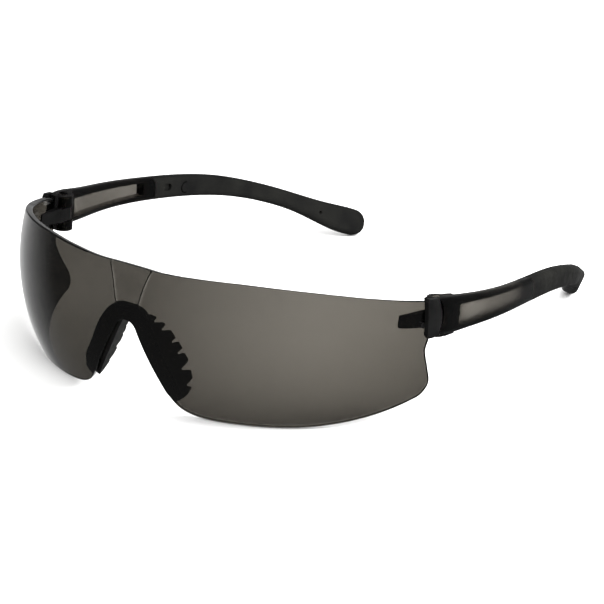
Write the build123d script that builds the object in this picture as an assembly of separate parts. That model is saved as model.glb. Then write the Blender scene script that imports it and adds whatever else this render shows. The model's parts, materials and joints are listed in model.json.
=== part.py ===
from build123d import *
from math import cos, radians, sin
import os

# Rimless wrap-around safety glasses: a one-piece tinted lens, a finned rubber nosepiece and two folding
# temples. Everything is modelled about the lens: X to the wearer's left, Y rearwards, Z up, with the origin
# midway between the centres of the two spherical lobes. The left side is modelled, and the right side is its
# mirror image. stand() then moves each piece into the row frame: resting on Z = 0, with the box's centre over
# the origin.

# Row frame
STAND_HEIGHT = 27.2       # lobe centres above the surface that the glasses rest on
STAND_BACK = 30.75        # lobe centres in front of the middle of the overall length

# Lens
LOBE_RADIUS = 58.1        # outer sphere of each lobe
LOBE_OFFSET = 9.9         # centre of each lobe from the plane of symmetry
LENS_THICKNESS = 2.2
LENS_END = -9.9           # temporal end beside the bracket
BRIDGE_RADIUS = 57.73     # cylinder along X that joins the lobes over the nose
BRIDGE_RISE = 1.4         # its axis above the lobe centres
ARCH_RADIUS = 3.9         # top of the nose cut
ARCH_TOP = -2.2
LEG_ANGLE = 27.9          # nose cut's sides from the vertical, in degrees
GATE_PAD = (8.0, 4.7)     # moulding gate's pad on the back of the bridge, width and height
GATE_PAD_Z = 7.9
GATE_PAD_RISE = 0.1

# Nosepiece
FLANGE_THICKNESS = 1.7
FLANGE_SETBACK = 0.3      # flange's edge behind the nose cut's edge
PAD_TOP = (2.6, -55.0, -3.2)            # top and foot of the pad's root, along the nose cut
PAD_FOOT = (12.9, -50.9, -22.3)
PAD_REAR = (11.5, -43.3, -14.0)         # a point on the pad's rear edge, which sets its splay
PAD_THICKNESS = 1.7
# Each fin's two rear corners, then the bottom of the notch below it: down the pad, and back
FIN_CORNERS = [
    ((-0.6, 4.6), (1.1, 5.9), (1.7, 4.2)),
    ((3.2, 7.0), (4.1, 7.1), (4.6, 4.9)),
    ((6.0, 7.9), (8.6, 8.2), (8.9, 5.6)),
    ((9.8, 8.4), (11.9, 8.6), (12.4, 5.6)),
    ((13.3, 8.6), (15.7, 8.5), (16.6, 5.0)),
    ((18.2, 7.9), (20.3, 7.1), (21.1, 4.3)),
    ((22.1, 5.9), (23.2, 3.8), (23.3, 0.6)),
]

# Hinge
PIN_X, PIN_Y = 65.4, -4.9
KNUCKLE = (-0.1, 3.9)     # bottom and top of the bracket's knuckle
EARS = (-3.2, 7.4)        # bottom and top of the temple's fork
EAR_RADIUS = 2.9
EAR_CLEARANCE = 0.15      # round the ears, inside the column
KNUCKLE_RADIUS = 2.4
HINGE_GAP = 0.1           # between knuckle and ears, along the pin
SCREW_RADIUS = 0.8
SCREW_HEAD = (1.35, 1.0)  # radius and height
SCREW_SINK = 0.3          # head below the top of the fork
RUNNING_CLEARANCE = 0.05

# Lens bracket
COLUMN_PROUD = 1.2        # column outside the lens's outer face
COLUMN_FRONT = -12.4
BLOCK_TOP = 8.2           # block behind the lens's end, inside the column
COLUMN_BACK = ((-8.1, 8.3), (-6.9, 3.4), (-8.2, -2.3))      # joint with the temple arm, from the side
JOINT_GAP = 0.25
BAR_TIP = (61.6, -19.6)   # front end of the inner bar's flat face, seen from above
BAR_REAR = (63.0, -8.6)   # its rear end
PEG_RADIUS = 0.8
PEG_Y, PEG_Z = -12.9, 1.5

# Temple arm
ARM_THICKNESS = 4.0
WALL = 1.2
CORE = (3.4, 1.8)         # tongue inside the rubber tip, height and thickness

# Temple, arm and tip together: centre, height, thickness, and the twist that leans its top outwards
TEMPLE_SECTIONS = [
    ((66.4, -8.4, 3.05), 9.8, ARM_THICKNESS, 0),
    ((68.2, 3.7, 1.8), 9.8, ARM_THICKNESS, 0),
    ((69.2, 14.5, 1.05), 8.6, ARM_THICKNESS, 0),
    ((69.3, 25.0, 0.4), 7.8, ARM_THICKNESS, 0),
    ((68.4, 35.0, -0.35), 7.3, ARM_THICKNESS, 0),
    ((67.0, 45.5, -1.35), 7.0, 4.1, 0),
    ((65.1, 57.0, -2.8), 6.7, 4.3, 0),
    ((62.8, 69.6, -5.2), 6.2, 4.6, 3),
    ((60.1, 79.3, -7.8), 5.8, 4.8, 8),
    ((55.8, 88.7, -11.0), 5.5, 4.9, 13),
    ((51.3, 98.3, -15.1), 5.8, 4.9, 17),
    ((47.3, 106.2, -19.0), 7.3, 4.8, 20),
    ((43.7, 112.3, -21.7), 8.5, 4.6, 22),
    ((41.6, 115.4, -22.9), 8.4, 4.4, 23),
]
END_ANGLES = (0, 18, 36, 52, 66, 77)           # where the rounded end is sectioned, in degrees round it
CORNER = 0.36                           # a section's corner radius, as a share of its thickness
CORE_START, CORE_END = 4, 9             # sections that the tongue runs between

BIG = 100.0               # longer than any feature, for cutting


def point_on_leg(z):
    """X of the nose cut's straight side at height z."""
    start_z = ARCH_TOP - ARCH_RADIUS + ARCH_RADIUS * sin(radians(LEG_ANGLE))
    start_x = ARCH_RADIUS * cos(radians(LEG_ANGLE))
    return start_x + (start_z - z) * sin(radians(LEG_ANGLE)) / cos(radians(LEG_ANGLE))


def both(shape):
    """A shape and its mirror image, as one."""
    return shape + mirror(shape, about=Plane.YZ)


def lobes(inset):
    """Solid inside the lens's outer face, shrunk by inset: two half balls and the bridge's cylinder."""
    ball = Pos(LOBE_OFFSET, 0, 0) * Sphere(LOBE_RADIUS - inset)
    half = ball & Pos(BIG / 2, 0, 0) * Box(BIG, 2 * BIG, 2 * BIG)
    bridge = Pos(0, 0, BRIDGE_RISE) * Rot(0, 90, 0) * Cylinder(BRIDGE_RADIUS - inset, 2 * LOBE_OFFSET)
    return both(half) + bridge


def left_shell(outside, inside):
    """Skin of the left lobe's sphere, from outside to inside, both measured inwards from the face."""
    skin = Sphere(LOBE_RADIUS - outside) - Sphere(LOBE_RADIUS - inside)
    return Pos(LOBE_OFFSET, 0, 0) * skin & Pos(BIG / 2 + LOBE_OFFSET, 0, 0) * Box(BIG, 2 * BIG, 2 * BIG)


def front_prism(face):
    """A face drawn in X and Z, run forwards from the plane of the lobe centres."""
    return extrude(Plane.XZ * face, BIG)


def side_prism(face):
    """A face drawn in Y and Z, run sideways across the left side."""
    return extrude(Plane.YZ * face, BIG)


def plan_prism(face, low, high):
    """A face drawn in X and Y, from low to high."""
    return Pos(0, 0, low) * extrude(face, high - low)


def lens_front():
    """The lens seen from in front, left half."""
    leg_start = (point_on_leg(ARCH_TOP - ARCH_RADIUS + ARCH_RADIUS * sin(radians(LEG_ANGLE))),
                 ARCH_TOP - ARCH_RADIUS + ARCH_RADIUS * sin(radians(LEG_ANGLE)))
    turn = radians((90 + LEG_ANGLE) / 2)
    arch_middle = (ARCH_RADIUS * cos(turn), ARCH_TOP - ARCH_RADIUS + ARCH_RADIUS * sin(turn))
    leg_end = (point_on_leg(-21.0), -21.0)
    leg_way = (sin(radians(LEG_ANGLE)), -cos(radians(LEG_ANGLE)))
    top = Spline((0, 13.5), (11, 13.5), (22, 14.1), (34, 14.4), (46, 13.7), (54, 12.5), (60, 10.95),
                 (63.3, 9.7), (66.4, 7.9), (80, -2), tangents=[(1, 0), (1, -0.7)])
    arch = ThreePointArc((0, ARCH_TOP), arch_middle, leg_start)
    leg = Line(leg_start, leg_end)
    bottom = Spline(leg_end, (15.9, -25.1), (21.5, -26.9), (32, -27.35), (45, -27.0), (53, -25.9),
                    (59, -24.1), (64, -21.4), (80, -12), tangents=[leg_way, (1, 0.6)])
    return make_face([top, Line((80, -2), (80, -12)), bottom, leg, arch, Line((0, ARCH_TOP), (0, 13.5))])


def lens_side():
    """The lens seen from the left: its temporal edge, with the notch below the bracket."""
    edge = Spline((LENS_END, -2.6), (-10.6, -6.5), (-8.0, -12.1), (-5.2, -17.4), (-6.6, -20.9),
                  (-13, -24.5), tangents=[(0, -1), (-1, -0.45)])
    return make_face([Line((LENS_END, 30), (LENS_END, -2.6)), edge, Line((-13, -24.5), (-70, -50)),
                      Line((-70, -50), (-70, 30)), Line((-70, 30), (LENS_END, 30))])


def build_lens():
    shell = lobes(0) - lobes(LENS_THICKNESS)
    lens = both(shell & front_prism(lens_front()) & side_prism(lens_side()))
    pad_face = Pos(0, GATE_PAD_Z) * SlotOverall(*GATE_PAD)
    pad = (lobes(LENS_THICKNESS) - lobes(LENS_THICKNESS + GATE_PAD_RISE)) & front_prism(pad_face)
    peg_hole = Pos(0, PEG_Y, PEG_Z) * Rot(0, 90, 0) * Cylinder(PEG_RADIUS, 4 * BIG)
    below_rest = Pos(0, 0, -STAND_HEIGHT - 5) * Box(4 * BIG, 4 * BIG, 10)
    return lens + pad - peg_hole - below_rest


def flange_face():
    """Band of the nosepiece around the nose cut, seen from in front, left half."""
    inner_top = ARCH_TOP + FLANGE_SETBACK
    outer = Spline((0, 2.1), (4.7, 1.4), (7.5, -1.3), (10.8, -7.2), (13.6, -13.0), (15.5, -16.8),
                   (16.0, -19.4), (15.2, -21.5), tangents=[(1, 0), (-0.7, -1)])
    lower = (point_on_leg(-21.0) + FLANGE_SETBACK, -21.0)
    upper = (point_on_leg(-4.3) + FLANGE_SETBACK, -4.3)
    arch = ThreePointArc(upper, (2.6, -3.2), (0, inner_top))
    foot = Spline((15.2, -21.5), (13.9, -22.2), lower)
    return make_face([outer, foot, Line(lower, upper), arch, Line((0, inner_top), (0, 2.1))])


def build_pad():
    """Left nose pad: a splayed plate with fins along its rear edge, cut apart by notches."""
    top, foot, rear = Vector(*PAD_TOP), Vector(*PAD_FOOT), Vector(*PAD_REAR)
    down = (foot - top).normalized()
    outwards = down.cross(rear - top).normalized()
    if outwards.X < 0:
        outwards = outwards * -1
    plane = Plane(top, x_dir=down, z_dir=outwards)
    turn = 1 if plane.y_dir.Y > 0 else -1
    corners = [Vector(x, turn * y) for fin in FIN_CORNERS for x, y in fin]
    outline = [Vector(-1.6, -turn), Vector(-1.4, turn * 1.8)] + corners + [Vector(22.6, -turn)]
    plate = extrude(plane * make_face(Polyline(*outline, close=True)), PAD_THICKNESS)
    rear_edges = plate.edges().filter_by(lambda edge: (edge.center() - top).dot(plane.y_dir * turn) > 3)
    return fillet(rear_edges, 0.25)


def build_nosepiece():
    band = (lobes(LENS_THICKNESS) - lobes(LENS_THICKNESS + FLANGE_THICKNESS)) & front_prism(flange_face())
    pad = build_pad() & lobes(LENS_THICKNESS)
    return both(band) + both(pad)


def column_back(gap):
    """The curved joint between column and temple arm, seen from the side and moved back by gap."""
    return Spline(*[(y + gap, z) for y, z in COLUMN_BACK])


def beyond_bar():
    """Everything on the outer side of the inner bar's flat face."""
    face = make_face(Polyline(BAR_TIP, BAR_REAR, (BIG, BAR_REAR[1]), (BIG, BAR_TIP[1]), close=True))
    return plan_prism(face, -BIG, BIG)


def build_bracket(lens):
    """Left bracket: a column round the lens's end, a bar along its inside and the hinge's middle knuckle."""
    back = column_back(0)
    front = Polyline(back @ 1, (-11.6, -2.3), (COLUMN_FRONT, -1.2), (COLUMN_FRONT, 8.1), (-11.8, 8.8),
                     back @ 0)
    outline = make_face([back] + list(front.edges()))
    prism = side_prism(fillet(outline.vertices(), 0.35))
    behind_lens = Pos(0, BIG + LENS_END, 0) * Box(4 * BIG, 2 * BIG, 2 * BLOCK_TOP)
    column = (left_shell(-COLUMN_PROUD, 0) + (left_shell(0, LENS_THICKNESS) & behind_lens)) & prism
    column -= Pos(PIN_X, PIN_Y, 0) * Cylinder(EAR_RADIUS + EAR_CLEARANCE, BIG)
    bar_face = make_face(Polyline((-19.2, 1.5), (-18.9, 4.9), (BAR_REAR[1], 4.3), (BAR_REAR[1], KNUCKLE[0]),
                                  close=True))
    bar = side_prism(fillet(bar_face.vertices().sort_by(Axis.X)[:2], 0.5))
    bar = bar & beyond_bar() & lobes(LENS_THICKNESS)
    neck_face = make_face(Polyline((BAR_REAR[0] - 0.1, -9.5), (PIN_X + 1.9, -9.5),
                                   (PIN_X + 1.9, PIN_Y - 1.0), (PIN_X - KNUCKLE_RADIUS, PIN_Y), close=True))
    neck = plan_prism(neck_face, *KNUCKLE)
    knuckle = plan_prism(Pos(PIN_X, PIN_Y) * Circle(KNUCKLE_RADIUS), *KNUCKLE)
    bore = Pos(PIN_X, PIN_Y, 0) * Cylinder(SCREW_RADIUS + RUNNING_CLEARANCE, BIG)
    return column + bar + neck + knuckle - lens - bore - build_peg()


def build_peg():
    """Left press peg through the bar and the lens, flush at both ends."""
    peg = Pos(0, PEG_Y, PEG_Z) * Rot(0, 90, 0) * Cylinder(PEG_RADIUS, 4 * BIG)
    return peg & lobes(0) & beyond_bar()


def build_screw():
    """Left hinge screw: head in the upper ear, shank down through the knuckle into the lower ear."""
    head_radius, head_height = SCREW_HEAD
    head_top = EARS[1] - SCREW_SINK
    head = plan_prism(Circle(head_radius), head_top - head_height, head_top)
    shank = plan_prism(Circle(SCREW_RADIUS), EARS[0] + 0.3, head_top - head_height)
    drive = plan_prism(Rectangle(2.1, 0.45) + Rectangle(0.45, 2.1), head_top - 0.5, head_top)
    return Pos(PIN_X, PIN_Y, 0) * (head + shank - drive)


def arm_outside(inset):
    """The arm's outer face seen from above, as a curve moved inwards by inset."""
    points = [(centre[0] + thickness / 2, centre[1]) for centre, _, thickness, _ in TEMPLE_SECTIONS[:6]]
    return Spline(*[(x - inset, y) for x, y in points])


def arm_band(outside, inside):
    """Strip between two insets of the arm's outer face, seen from above."""
    a, b = arm_outside(outside), arm_outside(inside)
    return make_face([a, Line(a @ 1, b @ 1), b, Line(b @ 0, a @ 0)])


def ahead_of_tip():
    """Everything in front of the rubber tip's curved front edge."""
    edge = ThreePointArc((37.4, 6), (40.2, -0.8), (39.1, -6))
    return side_prism(make_face([edge, Line((39.1, -6), (-20, -6)), Line((-20, -6), (-20, 12)),
                                 Line((-20, 12), (37.4, 12)), Line((37.4, 12), (37.4, 6))]))


def build_arm():
    """Left temple arm: a C-shaped channel with a fork for the hinge and a tongue for the rubber tip."""
    behind = column_back(JOINT_GAP)
    rest = Polyline(behind @ 0, (-8, 20), (60, 20), (60, -20), (-8, -20), behind @ 1)
    behind_column = make_face([behind] + list(rest.edges()))
    arm = build_temple() & ahead_of_tip() & side_prism(behind_column)
    fork_face = make_face(Polyline((PIN_X, PIN_Y - EAR_RADIUS), (67.2, -6.9), (68.6, -4.5), (69.0, -0.6),
                                   (66.4, 0.6), (PIN_X - EAR_RADIUS, PIN_Y), close=True))
    fork = plan_prism(fork_face + Pos(PIN_X, PIN_Y) * Circle(EAR_RADIUS), *EARS)
    gap_face = make_face(Polyline((PIN_X - 5, -9), (67.75, -9), (68.05, -6), (68.15, -2.2),
                                  (PIN_X - 5, -2.2), close=True))
    gap = plan_prism(gap_face, KNUCKLE[0] - HINGE_GAP, KNUCKLE[1] + HINGE_GAP)
    window = make_face([Spline((1.0, 4.7), (17, 3.5), (35, 2.1)), Line((35, 2.1), (35, -1.9)),
                        Spline((35, -1.9), (17, -1.6), (1.0, -1.2)), Line((1.0, -1.2), (1.0, 4.7))])
    recess = plan_prism(arm_band(WALL, ARM_THICKNESS + 3), -BIG / 2, BIG / 2) & side_prism(window)
    return arm + fork - gap - recess - build_screw_hole() + build_core()


def build_screw_hole():
    """The screw's seat in the fork: a counterbore for its head and a hole of its shank's size."""
    head_radius, head_height = SCREW_HEAD
    seat = plan_prism(Circle(head_radius), EARS[1] - SCREW_SINK - head_height, EARS[1] + 1)
    hole = plan_prism(Circle(SCREW_RADIUS), EARS[0] + 0.3, EARS[1])
    return Pos(PIN_X, PIN_Y, 0) * (seat + hole)


def blade(sections, size):
    """Loft through sections of the temple: rounded rectangles square to the path, with sides from size."""
    centres = [Vector(*s[0]) for s in sections]
    faces = []
    for i, (_, height, thickness, twist) in enumerate(sections):
        way = (centres[min(i + 1, len(centres) - 1)] - centres[max(i - 1, 0)]).normalized()
        if i == 0:
            way = Vector(0, 1, 0)
        faces.append(blade_section(centres[i], way, size(height, thickness), twist))
    return loft(faces)


def blade_section(centre, way, sides, twist):
    up = (Vector(0, 0, 1) - way * way.Z).normalized()
    lean = up * cos(radians(twist)) + way.cross(up) * sin(radians(twist))
    return Plane(centre, x_dir=lean, z_dir=way) * RectangleRounded(*sides, CORNER * min(sides))


def rounded_end():
    """Round end beyond the tip's last section, as deep as half that section's height."""
    before, last = Vector(*TEMPLE_SECTIONS[-2][0]), Vector(*TEMPLE_SECTIONS[-1][0])
    _, height, thickness, twist = TEMPLE_SECTIONS[-1]
    way = (last - before).normalized()
    faces = []
    for angle in END_ANGLES:
        depth, shrink = sin(radians(angle)), cos(radians(angle))
        faces.append(blade_section(last + way * height / 2 * depth, way,
                                   (height * shrink, thickness * shrink ** 0.6), twist))
    return loft(faces)


def build_temple():
    """Left temple's outside, arm and tip in one, with a round end."""
    body = blade(TEMPLE_SECTIONS, lambda height, thickness: (height, thickness))
    return body + rounded_end()


def build_core():
    return blade(TEMPLE_SECTIONS[CORE_START:CORE_END], lambda height, thickness: CORE)


def build_tip():
    """Left rubber tip: moulded over the arm's tongue, with the moulding marks on its inner face."""
    tip = build_temple() - ahead_of_tip() - build_core()
    oval = Pos(64.6, 45.3, -1.1) * Rot(0, 90, -8) * RectangleRounded(2.2, 3.2, 0.9)
    disc = Pos(63.6, 52.9, -2.4) * Rot(0, 90, -8) * (Circle(1.9) - Circle(1.5))
    dimple = Pos(45.4, 103.3, -17.9) * Rot(0, 90, -32) * Circle(0.55)
    for mark, depth in ((oval, 1.0), (disc, 1.0), (dimple, 2.2)):
        tip -= extrude(mark, depth)
    return tip


def stand(shape):
    """Moves a shape from the lens's frame to the row frame."""
    return Pos(0, -STAND_BACK, STAND_HEIGHT) * shape


def main():
    os.makedirs("parts", exist_ok=True)
    lens = build_lens()
    left = {"bracket": build_bracket(lens), "lens_peg": build_peg(), "hinge_screw": build_screw(),
            "temple_arm": build_arm(), "temple_tip": build_tip()}
    parts = {"lens": lens, "nosepiece": build_nosepiece()}
    for name, shape in left.items():
        parts[name + "_left"] = shape
        parts[name + "_right"] = mirror(shape, about=Plane.YZ)
    low, high = Vector(BIG, BIG, BIG) * 2, Vector(BIG, BIG, BIG) * -2
    for name, shape in parts.items():
        placed = stand(shape)
        box = placed.bounding_box()
        low = Vector(min(low.X, box.min.X), min(low.Y, box.min.Y), min(low.Z, box.min.Z))
        high = Vector(max(high.X, box.max.X), max(high.Y, box.max.Y), max(high.Z, box.max.Z))
        export_step(placed, f"parts/{name}.step")
    print("overall", low, high)


main()
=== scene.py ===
"""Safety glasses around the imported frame.

The lens is one smooth shell, and every other piece is the frame's own. All have procedural materials. They
stand on a pale floor in soft studio light, seen from in front of the wearer's left.
"""

import json
from math import acos, asin, cos, pi, radians, sin, sqrt

import bpy
from mathutils import Matrix, Vector
from mathutils.geometry import delaunay_2d_cdt


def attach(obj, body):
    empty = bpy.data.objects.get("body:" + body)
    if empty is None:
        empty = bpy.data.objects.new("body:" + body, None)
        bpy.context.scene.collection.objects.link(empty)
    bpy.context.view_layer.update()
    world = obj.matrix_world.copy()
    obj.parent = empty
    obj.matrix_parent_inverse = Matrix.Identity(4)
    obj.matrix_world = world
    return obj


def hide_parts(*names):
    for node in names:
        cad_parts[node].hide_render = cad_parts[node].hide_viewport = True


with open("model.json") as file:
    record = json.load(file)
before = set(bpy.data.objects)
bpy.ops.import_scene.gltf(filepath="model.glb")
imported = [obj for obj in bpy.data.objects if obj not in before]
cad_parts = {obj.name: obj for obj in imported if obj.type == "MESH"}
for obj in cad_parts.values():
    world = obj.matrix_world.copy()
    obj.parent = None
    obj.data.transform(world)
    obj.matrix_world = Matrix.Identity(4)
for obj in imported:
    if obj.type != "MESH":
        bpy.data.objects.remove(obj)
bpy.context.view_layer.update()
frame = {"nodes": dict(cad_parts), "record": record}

MM = 0.001

# Lens, in millimetres about the middle of the lobe centres
STAND_HEIGHT, STAND_BACK = 27.2, 30.75    # that middle, above the floor and ahead of the box's middle
LOBE_RADIUS, LOBE_OFFSET = 58.1, 9.9
BRIDGE_RADIUS, BRIDGE_RISE, BRIDGE_TOP = 57.73, 1.4, 13.5
THICKNESS = 2.2
CREASE_DEPTH = 0.05                       # rounding of the creases beside the bridge
GROOVE_DEPTH, GROOVE_HALF = 0.5, 0.5      # groove behind each crease
RIM_RADIUS = 0.45                         # rounding of the lens's edges
ARCH_RADIUS, ARCH_TOP, LEG_ANGLE = 3.9, -2.2, radians(27.9)
ARCH_START = ARCH_TOP - ARCH_RADIUS * (1 - sin(LEG_ANGLE))      # height where the nose cut's arch begins
LEG_FOOT = -21.0
PAD_WIDTH, PAD_HEIGHT, PAD_Z, PAD_RISE = 8.0, 4.7, 7.9, 0.08
PAD_STEP = 0.15                           # half the width of the gate pad's step

# Lens mesh
OUTLINE_STEP, ARCH_STEPS, RIM_STEPS = 0.7, 14, 4
GRID = 1.1                                # spacing of the inner points
GRID_LOW, GRID_ROWS, GRID_COLUMNS = -28, 60, 100
EDGE_GAP = 0.45                           # least distance from the edge to an inner point
CREASE_STEP, CREASE_ROWS = 0.6, (-0.75, -0.5, -0.3, -0.15, 0, 0.15, 0.3, 0.5, 0.75)
PAD_POINTS, PAD_ROWS = 44, (-0.45, -0.15, 0.15, 0.45)

# Studio
AMBIENT = 1.7
MIRROR_DARK, MIRROR_BRIGHT = 0.10, 0.85   # the room's strength in reflections
# Ends of the room's dark and bright parts in reflections, by direction: across, back, and two by height
MIRROR_X, MIRROR_Y, MIRROR_HIGH, MIRROR_LOW = (0.3, -0.4), (-0.3, 0.5), (0.2, -0.2), (-0.75, -0.35)
SOFTBOXES = [
    ("softbox_front", (0.85, -0.65, 1.2), 1.0, 6),
    ("softbox_side", (0.20, 0.05, 0.20), 0.2, 1.9),
]
FLOOR_HALF = 3.0

# Camera
AZIMUTH, ELEVATION, ROLL = radians(33.93), radians(19.09), radians(3.49)
DISTANCE, FOCAL = 0.774, 166.1
TARGET = Vector((0.0250, -0.0408, 0.02445))


# ---------------------------------------------------------------- helpers

def to_row(p):
    """A point of the design, in millimetres, in the row frame, in metres."""
    return Vector((p[0], p[1] - STAND_BACK, p[2] + STAND_HEIGHT)) * MM


def add_object(name, mesh):
    obj = bpy.data.objects.new(name, mesh)
    bpy.context.scene.collection.objects.link(obj)
    return obj


def smooth_curve(points, step):
    """A curve through 2-D points, sampled about every step."""
    pts = [Vector(p) for p in points]
    pts = [pts[0] * 2 - pts[1]] + pts + [pts[-1] * 2 - pts[-2]]
    out = []
    for a, b, c, d in zip(pts, pts[1:], pts[2:], pts[3:]):
        count = max(2, round((c - b).length / step))
        for i in range(count):
            t = i / count
            out.append(0.5 * (2 * b + (c - a) * t + (2 * a - 5 * b + 4 * c - d) * t ** 2
                              + (3 * b - a - 3 * c + d) * t ** 3))
    return out + [pts[-2]]


def straight(a, b, step):
    a, b = Vector(a), Vector(b)
    count = max(1, round((b - a).length / step))
    return [a + (b - a) * (i / count) for i in range(count + 1)]


# ---------------------------------------------------------------- node graphs

class Nodes:
    """Short calls that add nodes to a tree."""

    def __init__(self, tree):
        self.tree = tree

    def add(self, kind, **settings):
        node = self.tree.nodes.new(kind)
        for key, value in settings.items():
            setattr(node, key, value)
        return node

    def link(self, source, target):
        self.tree.links.new(source, target)

    def spread(self, source, low, high, start=0.3, end=0.7):
        """Source's range from start to end, spread over low to high."""
        node = self.add("ShaderNodeMapRange")
        for key, value in zip(("From Min", "From Max", "To Min", "To Max"), (start, end, low, high)):
            node.inputs[key].default_value = value
        self.link(source, node.inputs["Value"])
        return node.outputs["Result"]

    def math(self, operation, *values):
        node = self.add("ShaderNodeMath", operation=operation)
        for socket, value in zip(node.inputs, values):
            self.link(value, socket)
        return node.outputs[0]

    def along_axes(self, coordinates):
        """The X, Y and Z of one of the texture coordinates, each as an output."""
        node = self.add("ShaderNodeSeparateXYZ")
        self.link(self.add("ShaderNodeTexCoord").outputs[coordinates], node.inputs[0])
        return node.outputs


class Graph(Nodes):
    """A material with a Principled shader."""

    def __init__(self, name, **values):
        self.material = bpy.data.materials.new(name)
        self.material.use_nodes = True
        super().__init__(self.material.node_tree)
        self.tree.nodes.clear()
        self.output = self.add("ShaderNodeOutputMaterial")
        self.shader = self.add("ShaderNodeBsdfPrincipled")
        self.link(self.shader.outputs[0], self.output.inputs["Surface"])
        for key, value in values.items():
            self.shader.inputs[key.replace("_", " ")].default_value = value

    def noise(self, scale, detail=3.0, stretch=(1, 1, 1)):
        """Noise with scale features per metre, drawn out along the axes where stretch is small."""
        place = self.add("ShaderNodeMapping")
        place.inputs["Scale"].default_value = stretch
        self.link(self.add("ShaderNodeTexCoord").outputs["Object"], place.inputs["Vector"])
        node = self.add("ShaderNodeTexNoise")
        node.inputs["Scale"].default_value = scale
        node.inputs["Detail"].default_value = detail
        self.link(place.outputs[0], node.inputs["Vector"])
        return node.outputs["Fac"]

    def colours(self, factor, a, b):
        node = self.add("ShaderNodeMix", data_type="RGBA")
        node.inputs[6].default_value = (*a, 1)
        node.inputs[7].default_value = (*b, 1)
        self.link(factor, node.inputs[0])
        self.link(node.outputs[2], self.shader.inputs["Base Color"])

    def roughness(self, source):
        self.link(source, self.shader.inputs["Roughness"])

    def bump(self, height, distance):
        node = self.add("ShaderNodeBump")
        node.inputs["Distance"].default_value = distance
        self.link(height, node.inputs["Height"])
        self.link(node.outputs[0], self.shader.inputs["Normal"])


# ---------------------------------------------------------------- lens

def slice_radius(z):
    return sqrt(LOBE_RADIUS ** 2 - z * z)


def rounded_max(a, b):
    """The larger of a and b, with the corner between them rounded."""
    near = max(CREASE_DEPTH - abs(a - b), 0.0) / CREASE_DEPTH
    return max(a, b) + near * near * CREASE_DEPTH / 4


def surface(u, z):
    """Outer face of the lens's left half; u runs sideways round the lobe from its foremost line."""
    r = slice_radius(z)
    if u > 0:
        angle = u / LOBE_RADIUS
        return Vector((LOBE_OFFSET + r * sin(angle), -r * cos(angle), z))
    bridge = sqrt(BRIDGE_RADIUS ** 2 - (z - BRIDGE_RISE) ** 2)
    return Vector((LOBE_OFFSET + u, -rounded_max(sqrt(r * r - u * u), bridge), z))


def face_normal(face, u, z, step):
    """Outward normal of a face given by a function, square to the plane of symmetry on it."""
    sideways = face(u + step, z) - face(u - step, z)
    upwards = face(u, z + step) - face(u, z - step)
    normal = sideways.cross(upwards).normalized()
    if u <= -LOBE_OFFSET + 1e-6:
        normal = Vector((0, normal.y, normal.z)).normalized()
    return normal


def surface_normal(u, z):
    return face_normal(surface, u, z, 0.01)


def seen_from_front(x, z):
    if x <= LOBE_OFFSET:
        return Vector((x - LOBE_OFFSET, z))
    return Vector((LOBE_RADIUS * asin((x - LOBE_OFFSET) / slice_radius(z)), z))


def seen_from_side(y, z):
    return Vector((LOBE_RADIUS * acos(-y / slice_radius(z)), z))


def leg_x(z):
    """X of the nose cut's straight side."""
    return ARCH_RADIUS * cos(LEG_ANGLE) + (ARCH_START - z) * sin(LEG_ANGLE) / cos(LEG_ANGLE)


def lens_outline():
    """The left half's outline, from the bridge's top round the temporal end to the nose cut's top."""
    top = smooth_curve([(0, BRIDGE_TOP), (11, 13.5), (22, 14.1), (34, 14.4), (46, 13.7), (54, 12.5),
                        (60, 10.95)], OUTLINE_STEP)
    top = [seen_from_front(*p) for p in top]
    side = [seen_from_side(*p) for p in [(-20.8, 9.7), (-15.5, 8.75), (-11.2, 7.9), (-9.95, 6.9),
                                         (-9.95, 3.0), (-9.95, -2.6), (-10.6, -6.5), (-8.0, -12.1),
                                         (-5.2, -17.4), (-6.6, -20.9)]]
    low = [seen_from_front(*p) for p in [(62.5, -22.2), (59, -24.1), (53, -25.9), (45, -27.0), (32, -27.19),
                                         (21.5, -26.9), (15.9, -25.1), (leg_x(LEG_FOOT), LEG_FOOT)]]
    end = smooth_curve([top[-1]] + side + low, OUTLINE_STEP)
    leg = straight(low[-1], seen_from_front(leg_x(ARCH_START), ARCH_START), OUTLINE_STEP)
    arch = []
    for i in range(1, ARCH_STEPS + 1):
        angle = LEG_ANGLE + (pi / 2 - LEG_ANGLE) * i / ARCH_STEPS
        arch.append(Vector((ARCH_RADIUS * cos(angle) - LOBE_OFFSET,
                            ARCH_TOP - ARCH_RADIUS + ARCH_RADIUS * sin(angle))))
    return top[:-1] + end[:-1] + leg + arch


def move_inwards(loop, distance):
    """An open outline from the plane of symmetry back to it, moved into the lens."""
    out = []
    for i, p in enumerate(loop):
        before = loop[i - 1] if i else Vector((-2 * LOBE_OFFSET - loop[1].x, loop[1].y))
        after = loop[i + 1] if i + 1 < len(loop) else Vector((-2 * LOBE_OFFSET - loop[-2].x, loop[-2].y))
        way = (after - before).normalized()
        out.append(p + Vector((way.y, -way.x)) * distance)
    return out


def crease_u(z):
    return -sqrt(LOBE_RADIUS ** 2 - BRIDGE_RADIUS ** 2 + BRIDGE_RISE ** 2 - 2 * z * BRIDGE_RISE)


def pad_distance(u, z):
    """Distance outside the gate pad's outline, negative inside."""
    x = u + LOBE_OFFSET
    flat = (PAD_WIDTH - PAD_HEIGHT) / 2
    return Vector((max(abs(x) - flat, 0), z - PAD_Z)).length - PAD_HEIGHT / 2


def soft_step(value):
    value = min(max(value, 0.0), 1.0)
    return value * value * (3 - 2 * value)


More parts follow.
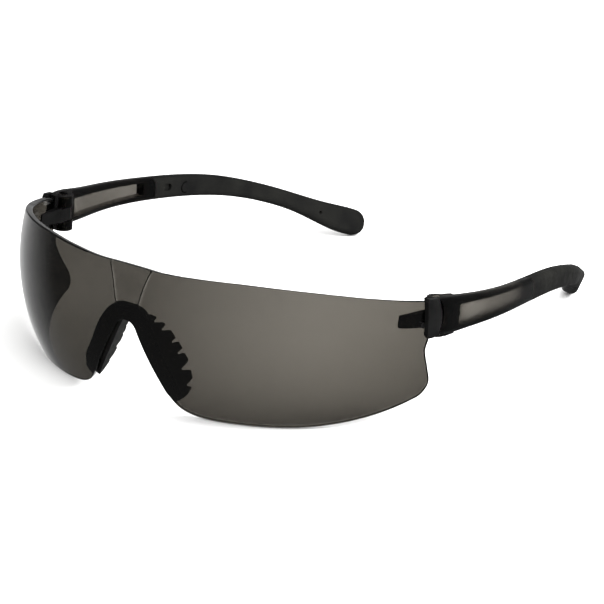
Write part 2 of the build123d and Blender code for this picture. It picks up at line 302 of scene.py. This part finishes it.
def depth_at(u, z):
    """Distance from the outer face to the inner one."""
    pad = PAD_RISE * soft_step(0.5 - pad_distance(u, z) / PAD_STEP / 2)
    groove = soft_step(1 - abs(u - crease_u(min(z, BRIDGE_TOP))) / GROOVE_HALF)
    run_out = soft_step((BRIDGE_TOP - 0.3 - z) / 0.7)
    return THICKNESS + pad - GROOVE_DEPTH * groove * run_out


def inner_surface(u, z):
    return surface(u, z) - surface_normal(u, z) * depth_at(u, z)


def inner_normal(u, z):
    return -face_normal(inner_surface, u, z, 0.03)


def inside(point, loop):
    hit = False
    for a, b in zip(loop, loop[1:] + loop[:1]):
        if (a.y > point.y) != (b.y > point.y):
            if point.x < (b.x - a.x) * (point.y - a.y) / (b.y - a.y) + a.x:
                hit = not hit
    return hit


def lens_points(edge):
    """Mesh points inside the edge: rows along the crease and the gate pad, a grid, and the middle line."""
    spots = []
    z = ARCH_TOP - 0.2
    while z < BRIDGE_TOP - EDGE_GAP:
        for offset in CREASE_ROWS:
            spots.append(Vector((crease_u(z) + offset, z)))
        z += CREASE_STEP
    for distance in PAD_ROWS:
        radius = PAD_HEIGHT / 2 + distance
        for i in range(PAD_POINTS):
            angle = -pi / 2 + pi * i / (PAD_POINTS - 1)
            spots.append(Vector(((PAD_WIDTH - PAD_HEIGHT) / 2 + radius * cos(angle) - LOBE_OFFSET,
                                 PAD_Z + radius * sin(angle))))
    for row in range(GRID_ROWS):
        for column in range(GRID_COLUMNS):
            shift = GRID * (column + 0.5 + 0.5 * (row % 2))
            p = Vector((-LOBE_OFFSET + shift, GRID_LOW + GRID * 0.87 * row))
            near_crease = p.y > ARCH_TOP - 1 and abs(p.x - crease_u(min(p.y, BRIDGE_TOP))) < GRID
            near_pad = abs(pad_distance(*p)) < 0.8
            if not near_crease and not near_pad:
                spots.append(p)
    for i in range(1, ARCH_STEPS):
        spots.append(Vector((-LOBE_OFFSET, ARCH_TOP + (BRIDGE_TOP - ARCH_TOP) * i / ARCH_STEPS)))
    middle = [p for p in spots if p.x < -LOBE_OFFSET + 1e-6]
    others = [p for p in spots if p.x > -LOBE_OFFSET + 0.3 and inside(p, edge)]
    return [p for p in middle + others if min((p - q).length for q in edge) > EDGE_GAP]


def rim_points(a, b):
    """Points and normals round the lens's edge, from the outer face at a, out to b and back inwards."""
    normal = surface_normal(*b)
    out = surface(*b) - surface(*a)
    quarter = [pi / 2 * (i + 1) / RIM_STEPS for i in range(RIM_STEPS)]
    points = []
    for side, turns in ((1, quarter), (-1, quarter[::-1])):
        for turn in turns:
            depth = RIM_RADIUS * (1 - cos(turn))
            if side < 0:
                depth = THICKNESS - depth
            facing = normal * side * cos(turn) + out.normalized() * sin(turn)
            points.append((surface(*a) + out * sin(turn) - normal * depth, facing.normalized()))
    return points


def add_right_half(verts, normals, polygons):
    """Adds the mirror image, joined along the plane of symmetry."""
    twins = []
    for i in range(len(verts)):
        if abs(verts[i].x) < 1e-4:
            verts[i].x = normals[i].x = 0.0
            twins.append(i)
        else:
            twins.append(len(verts))
            verts.append(verts[i] * Vector((-1, 1, 1)))
            normals.append(normals[i] * Vector((-1, 1, 1)))
    polygons += [[twins[i] for i in reversed(face)] for face in list(polygons)]


def build_lens():
    """The lens as one closed mesh, with rounded edges, creases beside the bridge and the gate pad."""
    outline = lens_outline()
    edge = move_inwards(outline, RIM_RADIUS)
    edge[0].x = edge[-1].x = outline[0].x = outline[-1].x = -LOBE_OFFSET
    last = len(edge) - 1
    ring = [(i, i + 1) for i in range(last)] + [(last, 0)]
    points, _, faces, origin, _, _ = delaunay_2d_cdt(edge + lens_points(edge), ring, [], 1, 1e-5)
    place = {old: new for new, olds in enumerate(origin) for old in olds}

    count = len(points)
    verts = [surface(*p) for p in points] + [inner_surface(*p) for p in points]
    normals = [surface_normal(*p) for p in points] + [inner_normal(*p) for p in points]
    polygons = []
    for face in faces:
        polygons.append(list(face))
        polygons.append([i + count for i in reversed(face)])
    columns = []
    for number, (a, b) in enumerate(zip(edge, outline)):
        column = [place[number]]
        for point, normal in rim_points(a, b):
            column.append(len(verts))
            verts.append(point)
            normals.append(normal)
        columns.append(column + [place[number] + count])
    for left, right in zip(columns, columns[1:]):
        for i in range(len(left) - 1):
            polygons.append([left[i], right[i], right[i + 1], left[i + 1]])
    add_right_half(verts, normals, polygons)

    mesh = bpy.data.meshes.new("lens_shell")
    mesh.from_pydata([to_row(v) for v in verts], [], polygons)
    mesh.validate()
    mesh.polygons.foreach_set("use_smooth", [True] * len(mesh.polygons))
    mesh.normals_split_custom_set_from_vertices([tuple(n) for n in normals])
    mesh.update()
    return add_object("lens_shell", mesh)


# ---------------------------------------------------------------- materials

def absorb(graph, density):
    """Makes the solid smokier with every millimetre that light crosses."""
    node = graph.add("ShaderNodeVolumeAbsorption")
    node.inputs["Color"].default_value = (0.10, 0.072, 0.02, 1)
    node.inputs["Density"].default_value = density
    graph.link(node.outputs[0], graph.output.inputs["Volume"])


def smoke_lens():
    """Smoke tint with painted shade: the base colour is darker over the nose than towards the ends."""
    g = Graph("smoke_lens", Roughness=0.0, IOR=1.586, Transmission_Weight=1.0)
    across = g.math("ABSOLUTE", g.along_axes("Object")["X"])
    # Painted shade: the base colour is 0.6 grey within about 4 mm of the middle, over the nose, and fades to
    # white by 50 mm out.
    g.colours(g.spread(across, 0, 1, 0.004, 0.050), (0.60, 0.60, 0.60), (1, 1, 1))
    absorb(g, 1255)
    return g.material


def smoke_frame():
    g = Graph("smoke_frame", Base_Color=(1, 1, 1, 1), IOR=1.586, Transmission_Weight=1.0,
              Specular_IOR_Level=0.2)
    g.roughness(g.spread(g.noise(900, 4), 0.28, 0.42))
    g.bump(g.noise(2600, 3), 0.00003)
    absorb(g, 1750)
    return g.material


def black_nylon():
    g = Graph("black_nylon", Specular_IOR_Level=0.09)
    g.colours(g.spread(g.noise(160, 3), 0, 1), (0.003, 0.003, 0.003), (0.006, 0.006, 0.006))
    g.roughness(g.spread(g.noise(700, 4), 0.28, 0.40))
    g.bump(g.noise(3500, 3), 0.000008)
    return g.material


def soft_rubber():
    g = Graph("soft_rubber", Specular_IOR_Level=0.10)
    g.colours(g.spread(g.noise(120, 3), 0, 1), (0.005, 0.005, 0.005), (0.009, 0.009, 0.008))
    g.roughness(g.spread(g.noise(500, 4), 0.48, 0.62))
    g.bump(g.noise(4200, 4), 0.000012)
    return g.material


def screw_steel():
    g = Graph("screw_steel", Metallic=1.0)
    g.colours(g.spread(g.noise(900, 3), 0, 1), (0.50, 0.49, 0.47), (0.66, 0.65, 0.63))
    g.roughness(g.spread(g.noise(1500, 3, (1, 1, 0.1)), 0.22, 0.4))
    return g.material


def dress(obj, material):
    if not obj.data.materials:
        obj.data.materials.append(material)
    for slot in obj.material_slots:
        slot.material = material


# ---------------------------------------------------------------- studio

def build_floor():
    mesh = bpy.data.meshes.new("floor")
    half = FLOOR_HALF
    corners = [(-half, -half, 0), (half, -half, 0), (half, half, 0), (-half, half, 0)]
    mesh.from_pydata(corners, [], [(0, 1, 2, 3)])
    floor = add_object("floor", mesh)
    g = Graph("floor_white", Base_Color=(0.86, 0.86, 0.855, 1), Roughness=0.9, Specular_IOR_Level=0.1)
    dress(floor, g.material)
    floor.visible_glossy = False


def add_softbox(name, place, size, power):
    data = bpy.data.lights.new(name, "AREA")
    data.size = size
    data.energy = power
    lamp = bpy.data.objects.new(name, data)
    lamp.visible_camera = lamp.visible_glossy = lamp.visible_transmission = False
    lamp.location = place
    lamp.rotation_euler = (Vector((0, 0, 0.02)) - Vector(place)).to_track_quat("-Z", "Y").to_euler()
    bpy.context.scene.collection.objects.link(lamp)


def build_light():
    """A white room and two softboxes. Reflections see the room bright only low behind and to the left."""
    world = bpy.data.worlds.new("studio")
    bpy.context.scene.world = world
    world.use_nodes = True
    g = Nodes(world.node_tree)
    sky = g.tree.nodes["Background"]
    sky.inputs["Color"].default_value = (1, 1, 1, 1)
    way = g.along_axes("Generated")
    level = g.math("MULTIPLY", g.spread(way["Z"], 0, 1, *MIRROR_HIGH), g.spread(way["Z"], 0, 1, *MIRROR_LOW))
    around = g.math("MULTIPLY", g.spread(way["X"], 0, 1, *MIRROR_X), g.spread(way["Y"], 0, 1, *MIRROR_Y))
    mirrored = g.spread(g.math("MULTIPLY", level, around), MIRROR_DARK, MIRROR_BRIGHT, 0, 1)
    path = g.add("ShaderNodeLightPath").outputs
    straight_on = g.math("MAXIMUM", path["Is Camera Ray"], path["Is Transmission Ray"])
    choose = g.add("ShaderNodeMix")
    choose.inputs["B"].default_value = AMBIENT
    g.link(g.math("MAXIMUM", straight_on, path["Is Diffuse Ray"]), choose.inputs["Factor"])
    g.link(mirrored, choose.inputs["A"])
    g.link(choose.outputs["Result"], sky.inputs["Strength"])
    for name, place, size, power in SOFTBOXES:
        add_softbox(name, place, size, power)


def build_camera():
    data = bpy.data.cameras.new("camera")
    data.lens = FOCAL
    data.sensor_width = 36
    camera = bpy.data.objects.new("camera", data)
    turn = (Matrix.Rotation(AZIMUTH, 3, "Z") @ Matrix.Rotation(pi / 2 - ELEVATION, 3, "X")
            @ Matrix.Rotation(ROLL, 3, "Z"))
    camera.rotation_euler = turn.to_euler()
    camera.location = TARGET + turn @ Vector((0, 0, DISTANCE))
    bpy.context.scene.collection.objects.link(camera)
    bpy.context.scene.camera = camera


# ---------------------------------------------------------------- assembly

LOOKS = {
    "smoke_frame": smoke_frame(),
    "black_nylon": black_nylon(),
    "soft_rubber": soft_rubber(),
    "steel": screw_steel(),
}
SLOTS = {part["node"]: part["material_slot"] for part in frame["record"]["subparts"]}

lens = build_lens()
dress(lens, smoke_lens())
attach(lens, "front")
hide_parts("lens")

for node, obj in frame["nodes"].items():
    if node != "lens":
        dress(obj, LOOKS[SLOTS[node]])

build_floor()
build_light()
build_camera()
bpy.context.scene.view_settings.view_transform = "Standard"
